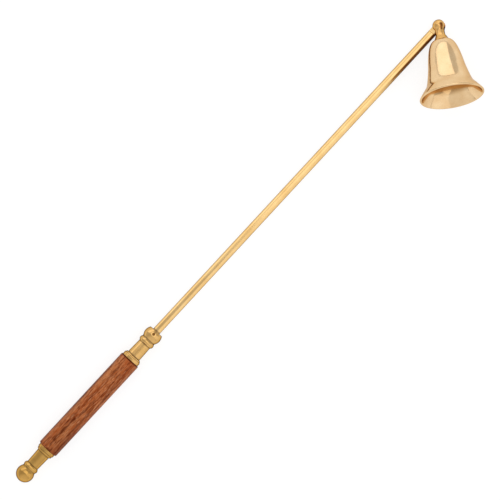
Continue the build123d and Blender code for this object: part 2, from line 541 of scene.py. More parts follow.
def hollowness(profile: Array, reach: float) -> Array:
    """How deep each point of a profile lies in a hollow.

    Formula: the height of the mean of the points one reach before and after, above the point itself,
    measured out from the axis, as a share of half the reach and kept between 0 and 1.

    Args:
        profile: one row of two numbers per point, along and out.
        reach: how far the neighbours are, in millimetres.

    Returns:
        One share per point.
    """
    distance = distance_along(profile)
    before = np.interp(distance - reach, distance, profile[:, 1])
    after = np.interp(distance + reach, distance, profile[:, 1])
    return np.clip(((before + after) / 2 - profile[:, 1]) / (reach / 2), 0, 1)


@dataclass(frozen=True)
class TurningAxis:
    """The axis that a piece is turned about: its start in millimetres, its way, and a way square to it."""

    start: Triple
    along: Triple
    side: Triple

    def places(self, along: Array, side: Array, up: Array) -> Array:
        """Places in the part's frame.

        Formula: the start plus each distance times its direction.

        Args:
            along: distances along the axis, in millimetres.
            side: distances to its side.
            up: distances square to both.

        Returns:
            Three numbers for each distance, in metres.
        """
        third = np.cross(self.along, self.side)
        offsets = np.stack((along, side, up), axis=-1) @ np.array([self.along, self.side, third])
        return (np.array(self.start) + offsets) * MM

    def turned(self, profile: Array, columns: int) -> Array:
        """A grid of places on the surface that a profile sweeps.

        Formula: the point (a, r) of the profile becomes the ring a along the axis, r cos(angle) to
        the side and r sin(angle) up, with the angle running once round.

        Args:
            profile: one row of two numbers per point, along and out.
            columns: how many places round the axis.

        Returns:
            Rows by columns by three numbers, in metres.
        """
        angle = np.arange(columns) * 2 * pi / columns
        along = np.repeat(profile[:, :1], columns, axis=1)
        return self.places(along, profile[:, 1:] * np.cos(angle), profile[:, 1:] * np.sin(angle))


def skin(
    name: str, grid: Array, rows_close: bool = False, marks: dict[str, Array] | None = None
) -> bpy.types.Object:
    """Makes a closed mesh from a grid of places whose columns run once round the piece.

    Each place is joined to the next in its row and its column. Rows that shrink to a point or a line
    are merged, and the faces are turned if the volume that they enclose comes out negative.

    Args:
        name: the piece's name.
        grid: rows by columns by three numbers, in metres.
        rows_close: whether the last row joins the first.
        marks: numbers for each row or each place, by attribute name.

    Returns:
        The new object, at the origin.
    """
    rows, columns = grid.shape[:2]
    index = np.arange(rows * columns).reshape(rows, columns)
    lower = np.vstack((index, index[:1])) if rows_close else index
    right = np.roll(lower, -1, axis=1)
    faces = np.stack((lower[:-1], right[:-1], right[1:], lower[1:]), axis=-1).reshape(-1, 4)
    corners = grid.reshape(-1, 3)[faces]
    volume = np.einsum("ij,ij->i", corners[:, 0], np.cross(corners[:, 1], corners[:, 2])).sum()
    volume += np.einsum("ij,ij->i", corners[:, 0], np.cross(corners[:, 2], corners[:, 3])).sum()
    if volume < 0:
        faces = faces[:, ::-1]
    mesh = bpy.data.meshes.new(name)
    mesh.from_pydata(grid.reshape(-1, 3).tolist(), [], faces.tolist())
    for mark, values in (marks or {}).items():
        spread = np.broadcast_to(values.reshape(rows, -1), (rows, columns))
        layer = mesh.attributes.new(mark, "FLOAT", "POINT")
        layer.data.foreach_set("value", spread.ravel().astype(np.float32))
    shell = bmesh.new()
    shell.from_mesh(mesh)
    bmesh.ops.remove_doubles(shell, verts=shell.verts, dist=MERGE_DISTANCE)
    shell.to_mesh(mesh)
    shell.free()
    mesh.shade_smooth()
    return add_object(name, mesh)


def prism(name: str, axis: TurningAxis, low: float, high: float, ring: Array) -> bpy.types.Object:
    """Makes a straight closed prism, to cut with.

    Formula: the ring's places at both ends of the axis, each end closed by a row on the axis itself.

    Args:
        name: the piece's name.
        axis: the prism's axis.
        low: where it starts along the axis.
        high: where it ends.
        ring: one row of two numbers per corner, to the axis's side and up.

    Returns:
        The new object.
    """
    along = np.repeat([[low], [low], [high], [high]], len(ring), axis=1)
    size = np.array([[0], [1], [1], [0]])
    return skin(name, axis.places(along, size * ring[:, 0], size * ring[:, 1]))


def round_ring(radius: float, corners: int = 48) -> Array:
    """The corners of a regular polygon, for a prism that drills a hole."""
    turn = np.arange(corners) * 2 * pi / corners
    return radius * np.column_stack((np.cos(turn), np.sin(turn)))


def carve(piece: bpy.types.Object, *cutters: bpy.types.Object) -> None:
    """Cuts pieces out of another, keeps its new edges sharp, and removes the cutters.

    Args:
        piece: what is cut.
        *cutters: what it is cut with.
    """
    for cutter in cutters:
        cut = piece.modifiers.new(cutter.name, "BOOLEAN")
        cut.operation = "DIFFERENCE"
        cut.solver = "EXACT"
        cut.object = cutter
    carved = bpy.data.meshes.new_from_object(piece.evaluated_get(bpy.context.evaluated_depsgraph_get()))
    piece.modifiers.clear()
    piece.data = carved
    carved.set_sharp_from_angle(angle=SHARP_ANGLE)
    for cutter in cutters:
        bpy.data.objects.remove(cutter)


def dress_node(name: str, material: bpy.types.Material) -> None:
    """Gives a carried-over CAD node another material in each of its slots, and reports it.

    Args:
        name: the node's name.
        material: its finish.
    """
    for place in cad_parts[name].material_slots:
        place.material = material
    log.info("%s keeps the CAD's shape", name)


def seat(
    piece: bpy.types.Object, material: bpy.types.Material, body: Body, slot: str, *nodes: str
) -> None:
    """Dresses a piece and puts it on its body in place of CAD nodes, and reports it.

    Args:
        piece: the finished piece.
        material: what every face of it gets.
        body: the body that it moves with.
        slot: the record's material slot; not used.
        *nodes: the CAD nodes that it stands for.
    """
    piece.data.materials.clear()
    piece.data.materials.append(material)
    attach(piece, body.value)
    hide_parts(*nodes)
    log.info("%s rides on %s with %d faces", piece.name, body.value, len(piece.data.polygons))


# Handle
@dataclass(frozen=True)
class TurnedFitting:
    """A brass fitting with a flange, a tapered neck, a bead and a ball, turned in one piece.

    Its foot share is how far the ball's middle lies past the bead, and its face share how far the end
    face lies past the ball's middle, both as shares of the ball's radius.
    """

    flange_radius: float
    flange_length: float
    rim_length: float
    rim_round: float
    collar_radius: float
    collar_round: float
    neck_radius: float
    neck_end_radius: float
    neck_length: float
    bead_radius: float
    bead_length: float
    ball_radius: float
    thread_depth: float
    face_share: float = 1.0
    socket_radius: float = 0.0
    socket_depth: float = 0.0
    thread_radius: float = 2.02
    foot_share: float = 0.65
    face_round: float = 0.0
    valley_round: float = 0.8
    edge: float = 0.15
    mouth_round: float = 0.35
    hollow_reach: float = 0.6
    hollow_depth: float = 0.9
    spacing: float = 0.3
    bead_rows: int = 17
    ball_rows: int = 41
    round_rows: int = 9

    @property
    def bead_end(self) -> float:
        """The distance from the grip to the end of the bead."""
        return self.flange_length + self.neck_length + self.bead_length

    @property
    def ball_distance(self) -> float:
        """The distance from the grip to the ball's middle."""
        return self.bead_end + self.foot_share * self.ball_radius

    @property
    def length(self) -> float:
        """The distance from the grip to the fitting's end."""
        return self.ball_distance + self.face_share * self.ball_radius

    def profile(self) -> Array:
        """The outline, from the bottom of the thread round the outside to the socket or the tip.

        Returns:
            One row of two numbers per point, along and out.
        """
        neck_end = self.flange_length + self.neck_length
        foot = self.ball_radius * sqrt(1 - self.foot_share**2)
        flange = softened(
            [
                (self.thread_depth, 0, 0),
                (self.thread_depth, self.thread_radius, 0),
                (0, self.thread_radius, self.edge),
                (0, self.flange_radius, self.edge),
                (self.rim_length, self.flange_radius, self.rim_round),
                (self.rim_length, self.collar_radius, self.edge / 2),
                (self.flange_length, self.collar_radius, self.collar_round),
                (self.flange_length, self.neck_radius, self.edge),
                (neck_end, self.neck_end_radius, 0),
            ]
        )
        neck_point = np.array([neck_end, self.neck_end_radius])
        bead_middle, bead_bow = circle_through(
            tuple(neck_point), (neck_end + self.bead_length / 2, self.bead_radius), (self.bead_end, foot)
        )
        ball_middle = np.array([self.ball_distance, 0])
        valley_middle = outer_meeting(
            bead_middle, bead_bow + self.valley_round, ball_middle, self.ball_radius + self.valley_round
        )
        bead_start = bearing_of(bead_middle, neck_point)
        bead_stop = bearing_of(bead_middle, valley_middle)
        start = bearing_of(ball_middle, valley_middle)
        bead = arc_points(tuple(bead_middle), bead_bow, bead_start, bead_stop, self.bead_rows)
        valley_ends = bead_stop - pi, start - pi
        valley = arc_points(tuple(valley_middle), self.valley_round, *valley_ends, self.round_rows)
        end = pi / 2 - asin(self.face_share)
        if not self.socket_radius:
            tip = arc_points(tuple(ball_middle), self.ball_radius, start, end, self.ball_rows)
            return np.vstack((flange, bead, valley, tip))
        # The face's rounded edge is an arc that touches the ball from inside and the face.
        round_centre = self.length - self.face_round
        swing = asin((round_centre - self.ball_distance) / (self.ball_radius - self.face_round))
        round_middle = (round_centre, (self.ball_radius - self.face_round) * cos(swing))
        ball = arc_points(tuple(ball_middle), self.ball_radius, start, pi / 2 - swing, self.ball_rows)
        edge = arc_points(round_middle, self.face_round, pi / 2 - swing, 0, self.round_rows)
        bottom = self.length - self.socket_depth
        socket = softened(
            [
                (*edge[-1], 0),
                (self.length, self.socket_radius, self.mouth_round),
                (bottom, self.socket_radius, 0),
                (bottom, 0, 0),
            ]
        )
        return np.vstack((flange, bead, valley, ball, edge, socket))

    def surface(self, axis: TurningAxis, columns: int) -> tuple[Array, Array]:
        """The turned surface, and how much of its hollows the buff misses.

        Args:
            axis: the fitting's axis, from the grip outwards.
            columns: how many places round it.

        Returns:
            Rows by columns by three numbers, in metres, and one hollow share for each row.
        """
        profile = stationed(self.profile(), self.spacing)
        hollows = self.hollow_depth * hollowness(profile, self.hollow_reach)
        return axis.turned(profile, columns), hollows[:, None]


@dataclass(frozen=True)
class Vein:
    """A dark vein along the grip, also used for bands of painted shade: its ends, its angles there from the
    top, its width and its depth.

    The sway is how far it wanders to each side, in degrees, and the swell by what share its width does.
    """

    start: float
    end: float
    first_angle: float
    last_angle: float
    half_width: float = 0.4
    sway: float = 2.0
    depth: float = 0.8
    swell: float = 0.45


@dataclass(frozen=True)
class GripFigure:
    """The dark marks on the grip: its veins, painted shade on the side away from the window, painted
    shade along its outline, a painted shadow in the gap at the ferrule, and dark patches round its end
    at the pommel.

    Paces are in radians to a millimetre, angles in degrees from the top, and distances in millimetres.
    The last two veins are bands of painted shade along the outline on the side that faces the window.
    """

    veins: tuple[Vein, ...] = (
        Vein(-33.5, -31.5, 12, 16, half_width=0.6),
        Vein(-30.0, -26.5, -4, -13, half_width=0.5),
        Vein(-27.0, -10.5, -11, -4, half_width=0.55, depth=0.9),
        Vein(-9.0, 2.0, 6, 14, half_width=0.35, depth=0.6),
        Vein(8.0, 24.0, 22, 12, half_width=0.35, depth=0.55),
        Vein(-20.0, -4.0, 33, 40, half_width=0.4, depth=0.55),
        Vein(14.0, 33.0, -28, -20, half_width=0.3, depth=0.45),
        # These two bands paint shade along the grip's outline on the side that faces the window.
        Vein(-33.0, 4.0, -80, -72, half_width=1.7, sway=1.2, depth=0.85, swell=0.12),
        Vein(-6.0, 33.0, -83, -76, half_width=1.8, sway=1.2, depth=0.8, swell=0.12),
    )
    sway_pace: float = 1.1
    swell_pace: float = 0.8
    # The painted shade on the side away from the window, deeper towards the pommel.
    side_shade_angle: float = 20.0
    side_shade_least: float = 0.2
    side_shade_growth: float = 0.5
    side_shade_start: float = 8.0
    side_shade_run: float = 16.0
    # The painted shadow in the gap between the grip and the ferrule.
    gap_shadow_width: float = 0.75
    gap_shadow_fade: float = 0.15
    # Dark patches round the grip's end at the pommel.
    end_patch_count: int = 5
    end_patch_turn: float = 1.2
    end_patch_level: float = 0.45
    end_patch_reach: float = 1.7
    dark_mark_fade: float = 0.8
    dark_mark_depth: float = 0.8

    def vein_share(self, along: Array, angle: Array, radius: float) -> Array:
        """How much of the dark veins, and of the bands of painted shade drawn like them, shows at each
        place of the grip.

        Formula: a vein runs from one end to the other along the grip while its angle about the axis
        changes evenly and sways by a small sine. A place's share is the vein's depth times
        exp(-(d / w)^2), where d is its distance round the grip and the half width w swells and
        shrinks by another sine, and it fades out over a millimetre past each end.

        Args:
            along: how far each place lies along the grip.
            angle: its angle from the top.
            radius: the grip's radius.

        Returns:
            Rows by columns of shares, from 0 to 1.
        """
        share = np.zeros(along.shape)
        for vein in self.veins:
            way = np.clip((along - vein.start) / (vein.end - vein.start), 0, 1)
            beyond = np.maximum(vein.start - along, along - vein.end)
            straight = vein.first_angle + (vein.last_angle - vein.first_angle) * way
            middle = straight + vein.sway * np.sin(self.sway_pace * along)
            apart = (angle - middle + 180) % 360 - 180
            width = vein.half_width * (1 + vein.swell * np.sin(self.swell_pace * along + vein.start))
            mark = vein.depth * np.exp(-((radians(1) * apart * radius / width) ** 2))
            share = np.maximum(share, mark * np.clip(1 - beyond, 0, 1))
        return share

    def darkness(self, grid: Array, half: float, radius: float) -> Array:
        """How dark the wood is at each place of the grip.

        Formula: the veins over a painted shade, whose share grows evenly towards the pommel and is
        (1 + sin(a)) / 2 round the grip, darkest on the side away from the window, or the painted shadow in
        the gap at the ferrule or the dark patches at the pommel, where those are darker. The patches are
        the tops of a sine round the grip, faded out along it.

        Args:
            grid: rows by columns by three numbers, in metres.
            half: half the grip's length.
            radius: the grip's radius.

        Returns:
            Rows by columns of shares, from 0 to 1.
        """
        along = grid[..., 0] / MM
        angle = np.degrees(np.arctan2(-grid[..., 1], grid[..., 2]))
        veins = self.vein_share(along, angle, radius)
        turned = (1 + np.sin(np.radians(angle - self.side_shade_angle))) / 2
        growth = np.clip((-along - self.side_shade_start) / self.side_shade_run, 0, 1)
        # Painted shade on the side away from the window.
        side_shade = (self.side_shade_least + self.side_shade_growth * growth) * turned
        # Painted shadow in the gap at the ferrule.
        gap_shadow = np.clip((along - half + self.gap_shadow_width) / self.gap_shadow_fade, 0, 1)
        ripple = np.sin(np.radians(angle) * self.end_patch_count + self.end_patch_turn)
        end = np.clip((self.end_patch_reach - along - half) / self.dark_mark_fade, 0, 1)
        stains = np.clip(self.end_patch_level + ripple, 0, 1) * end
        return np.maximum.reduce((veins + side_shade * (1 - veins), gap_shadow, self.dark_mark_depth * stains))


@dataclass
class Handle:
    """The grip between its ferrule and pommel, the pin across the ferrule, and the tie rod inside.

    The pin's recess and the smear beside it lie only on what is further out than recess_start.
    """

    grip_length: float = 67.0
    grip_radius: float = 6.0
    grip_bore: float = 2.15
    grip_round: float = 0.7
    bore_round: float = 0.3
    pin_offset: float = 1.15
    recess_radius: float = 0.95
    recess_depth: float = 0.3
    recess_start: float = 2.6
    smear_length: float = 0.9
    smear_radius: float = 0.6
    smear_depth: float = 0.6
    spacing: float = 0.4
    columns: int = 160
    figure: GripFigure = GripFigure()
    ferrule_shape: TurnedFitting = TurnedFitting(
        flange_radius=5.4,
        flange_length=2.9,
        rim_length=2.0,
        rim_round=0.35,
        collar_radius=4.95,
        collar_round=0.7,
        neck_radius=4.04,
        neck_end_radius=3.79,
        neck_length=8.9,
        bead_radius=4.62,
        bead_length=3.0,
        ball_radius=5.1,
        thread_depth=6.575,
        face_share=0.6,
        face_round=0.5,
        socket_radius=2.32,
        socket_depth=12.0,
    )
    pommel_shape: TurnedFitting = TurnedFitting(
        flange_radius=5.2,
        flange_length=3.15,
        rim_length=1.8,
        rim_round=0.35,
        collar_radius=4.8,
        collar_round=0.8,
        valley_round=1.1,
        neck_radius=3.95,
        neck_end_radius=3.63,
        neck_length=8.9,
        bead_radius=4.45,
        bead_length=2.8,
        ball_radius=5.05,
        thread_depth=9.0,
    )

    def build_grip(self) -> bpy.types.Object:
        """Builds the wooden grip: a bored cylinder with rounded ends.

        Returns:
            The new piece.
        """
        half = self.grip_length / 2
        outline = softened(
            [
                (0, self.grip_bore, 0),
                (half, self.grip_bore, self.bore_round),
                (half, self.grip_radius, self.grip_round),
                (-half, self.grip_radius, self.grip_round),
                (-half, self.grip_bore, self.bore_round),
                (0, self.grip_bore, 0),
            ]
        )
        profile = stationed(outline[:-1], self.spacing)
        grid = TurningAxis((0, 0, 0), (1, 0, 0), (0, 1, 0)).turned(profile, self.columns)
        # The darkness holds the veins, painted shade and a painted shadow.
        darkness = self.figure.darkness(grid, half, self.grip_radius)
        return skin("turned_grip", grid, rows_close=True, marks={"vein": darkness})

    def build_ferrule(self) -> bpy.types.Object:
        """Builds the ferrule, with a small dished recess round each end of its cross pin.

        Formula: the turned surface, moved towards the axis by the recess's depth times
        exp(-(d / radius)^4), where d is the distance from the pin in plan. Dried polish stains a strip
        from the pin towards the rod by the same formula, with d the distance from the strip.

        Returns:
            The new piece.
        """
        shape = self.ferrule_shape
        axis = TurningAxis((self.grip_length / 2, 0, 0), (1, 0, 0), (0, 1, 0))
        grid, hollows = shape.surface(axis, self.columns)
        pin = (self.grip_length / 2 + shape.ball_distance + self.pin_offset) * MM
        apart = np.hypot(grid[..., 0] - pin, grid[..., 1]) / (self.recess_radius * MM)
        outside = np.hypot(grid[..., 1], grid[..., 2]) > self.recess_start * MM
        sink = self.recess_depth * MM * np.exp(-(apart**4)) * outside
        grid[..., 2] -= np.sign(grid[..., 2]) * sink
        past = np.clip(grid[..., 0] - pin, 0, self.smear_length * MM)
        smear = np.hypot(grid[..., 0] - pin - past, grid[..., 1]) / (self.smear_radius * MM)
        brown = self.smear_depth * np.exp(-(smear**4)) * outside
        return skin("turned_ferrule", grid, marks={"hollow": np.maximum(hollows, brown)})

    def build_pommel(self) -> bpy.types.Object:
        """Builds the pommel.

        Returns:
            The new piece.
        """
        axis = TurningAxis((-self.grip_length / 2, 0, 0), (-1, 0, 0), (0, 1, 0))
        grid, hollows = self.pommel_shape.surface(axis, self.columns)
        return skin("turned_pommel", grid, marks={"hollow": hollows})

    def dress_handle(self, ferrule: Brass, pommel: Brass, wood: Rosewood, steel: Brass, pin: Brass) -> None:
        """Builds and dresses every piece of the handle.

        Args:
            ferrule: the finish of the ferrule.
            pommel: the finish of the pommel, which the palm rubs.
            wood: the finish of the grip.
            steel: the finish of the tie rod.
            pin: the finish of the pin across the ferrule.
        """
        seat(self.build_grip(), wood.material(), Body.HANDLE, "grip_wood", "grip")
        seat(self.build_ferrule(), ferrule.material(), Body.HANDLE, "fitting_brass", "ferrule")
        seat(self.build_pommel(), pommel.material(), Body.HANDLE, "fitting_brass", "pommel")
        dress_node("tie_rod", steel.material())
        dress_node("stem_pin", pin.material())


@dataclass
class Rod:
    """The long round rod, milled to a flat round-ended tongue at the hinge.

    Distances run from the middle of the grip. The hole's radius leaves the pin a little room.
    """

    radius: float = 2.3
    tail: float = 42.875
    hinge: float = HINGE_X
    tongue_thickness: float = 2.3
    tongue_length: float = 5.6
    cutter_radius: float = 0.7
    tail_edge: float = 0.3
    socket_mouth: float = 54.675
    # ring_width and ring_depth size the painted shadow where the rod leaves the ferrule.
    ring_width: float = 0.35
    hole_radius: float = 1.05
    ring_depth: float = 0.8
    # The painted dark reflection of the bell on the rod's side near the hinge.
    bell_reflection_start: float = 232.0
    bell_reflection_fade: float = 22.0
    bell_reflection_side: float = 0.25
    bell_reflection_depth: float = 0.9
    spacing: float = 0.4
    hollow_rows: int = 9
    tongue_rows: int = 8
    nose_rows: int = 17
    columns: int = 96

    def build(self) -> bpy.types.Object:
        """Builds the rod.

        Formula: at each station the ring r cos(angle), r sin(angle) is cut to a half width across
        and a half thickness along the hinge pin. The half thickness falls from the radius to half the
        tongue at the shoulder, over the cutter's quarter circle, and the half width follows the
        circle about the pin past the hinge. The tongue is then drilled for the pin.

        Returns:
            The new piece.
        """
        half = self.tongue_thickness / 2
        shoulder = self.hinge - self.tongue_length
        turn = np.linspace(0, pi / 2, self.hollow_rows)
        body = np.append(np.arange(self.tail + self.tail_edge, shoulder, self.spacing), shoulder)
        hollow = shoulder + self.cutter_radius * (1 - np.cos(turn))
        tongue = np.linspace(shoulder + self.cutter_radius, self.hinge, self.tongue_rows)[1:]
        nose = self.hinge + self.radius * np.sin(np.linspace(0, pi / 2, self.nose_rows))[1:]
        stations = np.concatenate(([self.tail, self.tail], body, hollow, tongue, nose))
        radii = np.full(stations.shape, self.radius)
        radii[:2] = (0.0, self.radius - self.tail_edge)
        thickness = np.full(stations.shape, half)
        shoulder_row = 2 + len(body)
        thickness[:shoulder_row] = self.radius
        thickness[shoulder_row : shoulder_row + len(turn)] += self.cutter_radius * (1 - np.sin(turn))
        width = np.sqrt(np.clip(self.radius**2 - np.clip(stations - self.hinge, 0, None) ** 2, 0, None))
        angle = np.arange(self.columns) * 2 * pi / self.columns
        across = np.clip(radii[:, None] * np.cos(angle), -width[:, None], width[:, None])
        along_pin = np.clip(radii[:, None] * np.sin(angle), -thickness[:, None], thickness[:, None])
        side = tuple(Vector(PIN_WAY).cross(Vector((1, 0, 0))))
        axis = TurningAxis((0, 0, 0), (1, 0, 0), side)
        grid = axis.places(np.repeat(stations[:, None], self.columns, axis=1), across, -along_pin)
        # The hollow attribute here holds the painted reflection and the painted shadow.
        piece = skin("drawn_rod", grid, marks={"hollow": self.reflection_and_shadow_share(grid)})
        pin = TurningAxis((self.hinge, 0, 0), PIN_WAY, side)
        drill = prism("tongue_hole", pin, -self.radius, self.radius, round_ring(self.hole_radius))
        carve(piece, drill)
        return piece

    def reflection_and_shadow_share(self, grid: Array) -> Array:
        """How brown the rod is at each place, from a painted dark reflection and a painted shadow.

        Formula: the side that faces the hanging bell takes a painted dark reflection from a quarter of the
        radius off the middle to half of it, more and more over the last stretch before the hinge, and a
        ring exp(-(d / w)^2) paints the shadow where the rod leaves the ferrule.

        Args:
            grid: rows by columns by three numbers, in metres.

        Returns:
            Rows by columns of shares, from 0 to 1.
        """
        along, side = grid[..., 0] / MM, -grid[..., 1] / MM / self.radius
        reach = np.clip((along - self.bell_reflection_start) / self.bell_reflection_fade, 0, 1)
        # Painted dark reflection on the side that faces the bell.
        bell_reflection = reach * np.clip((side - self.bell_reflection_side) / self.bell_reflection_side, 0, 1)
        # Painted shadow where the rod leaves the ferrule.
        ring = np.exp(-(((along - self.socket_mouth - self.ring_width) / self.ring_width) ** 2))
        return np.maximum(self.bell_reflection_depth * bell_reflection, self.ring_depth * ring)

    def dress_rod(self, brass: Brass) -> None:
        """Builds and dresses the rod.

        Args:
            brass: the finish of the rod.
        """
        seat(self.build(), brass.material(), Body.HANDLE, "rod_brass", "stem")


# Bell
@dataclass
class SnuffingBell:
    """The turned bell on its slotted stud, which swings about the hinge pin.

    Distances run along the bell's axis from the hinge pin to the mouth, and angles are in degrees.
    """

    mouth_radius: float = 18.3
    height: float = 33.3
    wall: float = 1.15
    lip_round: float = 0.25
    lip_angle: float = 32.5
    body_share: float = 0.494
    body_radius: float = 10.5
    body_angle: float = 12.4
    crown_distance: float = 9.0
    crown_radius: float = 4.2
    crown_pull: float = 4.4
    shoulder_pull: float = 3.5
    shoulder_round: float = 4.5
    waist_pull: float = 13.5
    flare_pull: float = 10.0
    hole_radius: float = 2.02
    # How far in from the mouth the painted shade inside the bell starts, how fast it rises and how dark it
    # gets.
    unshaded_depth: float = 5.5
    inside_shade_rise: float = 7.0
    inside_shade: float = 0.6
    ball_radius: float = 3.6
    ball_end_share: float = 0.55
    waist_distance: float = 4.6
    waist_radius: float = 2.7
    skirt_edge: float = 0.35
    skirt_slope: float = 0.55
    slot_half: float = 1.23
    slot_depth: float = 6.4
    spigot_radius: float = 2.0
    rivet_radius: float = 2.9
    rivet_height: float = 0.8
    pin_radius: float = 1.02
    # A painted dark reflection in a strip on the ball's flank.
    dark_reflection_angle: float = -34.0
    dark_reflection_width: float = 15.0
    dark_reflection_start: float = -0.9
    dark_reflection_end: float = 3.4
    dark_mark_fade: float = 0.6
    dark_mark_depth: float = 0.95
    spacing: float = 0.5
    columns: int = 192
    shoulder_rows: int = 33
    flare_rows: int = 49
    stud_spacing: float = 0.3
    stud_columns: int = 96
    ball_rows: int = 49
    neck_rows: int = 17
    skirt_rows: int = 25
    rivet_rows: int = 13
    axis: TurningAxis = TurningAxis((HINGE_X, 0.0, 0.0), BELL_WAY, PIN_WAY)

    def wall_face(self, depth: float) -> Array:
        """One face of the wall, from the crown to the lip.

        Formula: two cubic Bezier curves that meet where the body is straight, with every pole moved
        square to the wall by the depth.

        Args:
            depth: how far inside the outer face.

        Returns:
            One row of two numbers per point, along and out.
        """
        mouth = self.crown_distance + self.height
        body_way = np.array([cos(radians(self.body_angle)), sin(radians(self.body_angle))])
        lip_way = np.array([cos(radians(self.lip_angle)), sin(radians(self.lip_angle))])
        inward = np.array([[0, 1], [-1, 0]]) * depth
        crown = np.array([self.crown_distance + depth, self.crown_radius])
        body_start = (self.crown_distance + self.body_share * self.height, self.body_radius)
        body = np.array(body_start) + inward @ body_way
        lip = np.array([mouth, self.mouth_radius]) + inward @ lip_way
        tighter = 1 - depth / self.shoulder_round
        shoulder = [
            crown,
            crown + np.array([0, self.crown_pull]) * tighter,
            body - body_way * self.shoulder_pull * tighter,
            body,
        ]
        flare = [body, body + body_way * self.waist_pull, lip - lip_way * self.flare_pull, lip]
        upper = bezier_points(shoulder, self.shoulder_rows)
        return np.vstack((upper, bezier_points(flare, self.flare_rows)[1:]))

    def profile(self) -> Array:
        """The closed outline of the wall, cut flat at the mouth with its edges rounded.

        Returns:
            One row of two numbers per point, along and out.
        """
        mouth = self.crown_distance + self.height
        room = 3 * self.lip_round
        outer = self.wall_face(0)
        inner = self.wall_face(self.wall)
        inner = inner[inner[:, 0] < mouth - room]
        outer = outer[outer[:, 0] < mouth - room]
        lip = softened(
            [
                (*outer[-1], 0),
                (mouth, self.mouth_radius, 2 * self.lip_round),
                (mouth, float(np.interp(mouth, *self.wall_face(self.wall).T)), self.lip_round),
                (*inner[-1], 0),
            ]
        )
        hole = softened(
            [
                (*inner[0], 0),
                (inner[0, 0], self.hole_radius, 0),
                (self.crown_distance, self.hole_radius, 0),
                (*outer[0], 0),
            ]
        )
        return np.vstack((outer, lip, inner[::-1], hole))

    def build(self) -> bpy.types.Object:
        """Builds the bell's shell, whose inside is darker deeper in, from painted shade and reflection.

        Formula: a point is inside where the profile turns back from the mouth to the crown. Its share of
        painted shade is none near the lip, and from the unshaded depth on it rises evenly over the next two
        to three millimetres to the most, which it keeps up to the crown.

        Returns:
            The new piece.
        """
        profile = stationed(self.profile()[:-1], self.spacing)
        mouth = self.crown_distance + self.height
        depth = (mouth - self.unshaded_depth - profile[:, 0]) / (self.height - self.unshaded_depth)
        inside = np.arange(len(profile)) > np.argmax(profile[:, 0])
        # Painted shade and reflection deep inside the bell.
        inside_shade = np.clip(depth * self.inside_shade_rise, 0, self.inside_shade) * inside
        grid = self.axis.turned(profile, self.columns)
        return skin("turned_bell", grid, rows_close=True, marks={"hollow": inside_shade})

    def stud_profile(self) -> Array:
        """The stud's outline, from the ball's tip to the rivet's.

        Formula: an arc for the ball, a cubic Bezier curve in to the waist and one out to the skirt, each
        pulled by a third of its length, straight lines for the skirt's foot and the spigot, and an arc
        through the rivet's edge for its low dome.

        Returns:
            One row of two numbers per point, along and out.
        """
        ball_angle = acos(self.ball_end_share)
        ball = arc_points((0, 0), self.ball_radius, pi, ball_angle, self.ball_rows)
        waist = np.array([self.waist_distance, self.waist_radius])
        skirt = np.array([self.crown_distance - self.skirt_edge, self.crown_radius])
        skirt_way = np.array([1, self.skirt_slope]) / hypot(1, self.skirt_slope)
        inward = np.array([sin(ball_angle), -cos(ball_angle)])
        first, second = np.linalg.norm(waist - ball[-1]) / 3, np.linalg.norm(skirt - waist) / 3
        neck_poles = [ball[-1], ball[-1] + inward * first, waist - [first, 0], waist]
        skirt_poles = [waist, waist + [second, 0], skirt - skirt_way * second, skirt]
        neck = bezier_points(neck_poles, self.neck_rows)
        flare = bezier_points(skirt_poles, self.skirt_rows)
        spigot_end = self.crown_distance + self.wall
        foot = [(self.crown_distance, self.crown_radius), (self.crown_distance, self.spigot_radius)]
        dome = (self.rivet_radius**2 + self.rivet_height**2) / (2 * self.rivet_height)
        dome_middle = (spigot_end + self.rivet_height - dome, 0)
        rivet = arc_points(dome_middle, dome, asin(self.rivet_radius / dome), 0, self.rivet_rows)
        return np.vstack((ball, neck[1:], flare[1:], foot, [(spigot_end, self.spigot_radius)], rivet))

    def build_stud(self) -> bpy.types.Object:
        """Builds the stud, slotted for the rod's tongue and drilled for the hinge pin.

        Formula: the turned surface less a flat prism and a round one. A painted dark reflection lies in a
        strip on one flank of the ball: its share is exp(-(a / w)^4), where a is the angle round the axis
        from the strip's middle, and it fades out past both ends.

        Returns:
            The new piece.
        """
        profile = stationed(self.stud_profile(), self.stud_spacing)
        piece = skin("slotted_stud", self.axis.turned(profile, self.stud_columns))
        reach = self.ball_radius + self.hole_radius
        corners = np.array([[-1, -1], [1, -1], [1, 1], [-1, 1]]) * [self.slot_half, reach]
        slot = prism("slot", self.axis, -reach, self.slot_depth, corners)
        across = TurningAxis(self.axis.start, self.axis.side, self.axis.along)
        hole = prism("pin_hole", across, -reach, reach, round_ring(self.pin_radius))
        carve(piece, slot, hole)
        mesh = piece.data
        places = np.empty(3 * len(mesh.vertices), dtype=np.float32)
        mesh.vertices.foreach_get("co", places)
        directions = np.array([self.axis.along, self.axis.side, np.cross(self.axis.along, self.axis.side)])
        along, side, up = directions @ (places.reshape(-1, 3) / MM - np.array(self.axis.start)).T
        turned = (np.degrees(np.arctan2(up, side)) - self.dark_reflection_angle) / self.dark_reflection_width
        first = np.clip((along - self.dark_reflection_start) / self.dark_mark_fade, 0, 1)
        last = np.clip((self.dark_reflection_end - along) / self.dark_mark_fade, 0, 1)
        # Painted dark reflection on the ball's flank.
        dark_reflection = (self.dark_mark_depth * np.exp(-(turned**4)) * first * last).astype(np.float32)
        mesh.attributes.new("hollow", "FLOAT", "POINT").data.foreach_set("value", dark_reflection)
        return piece

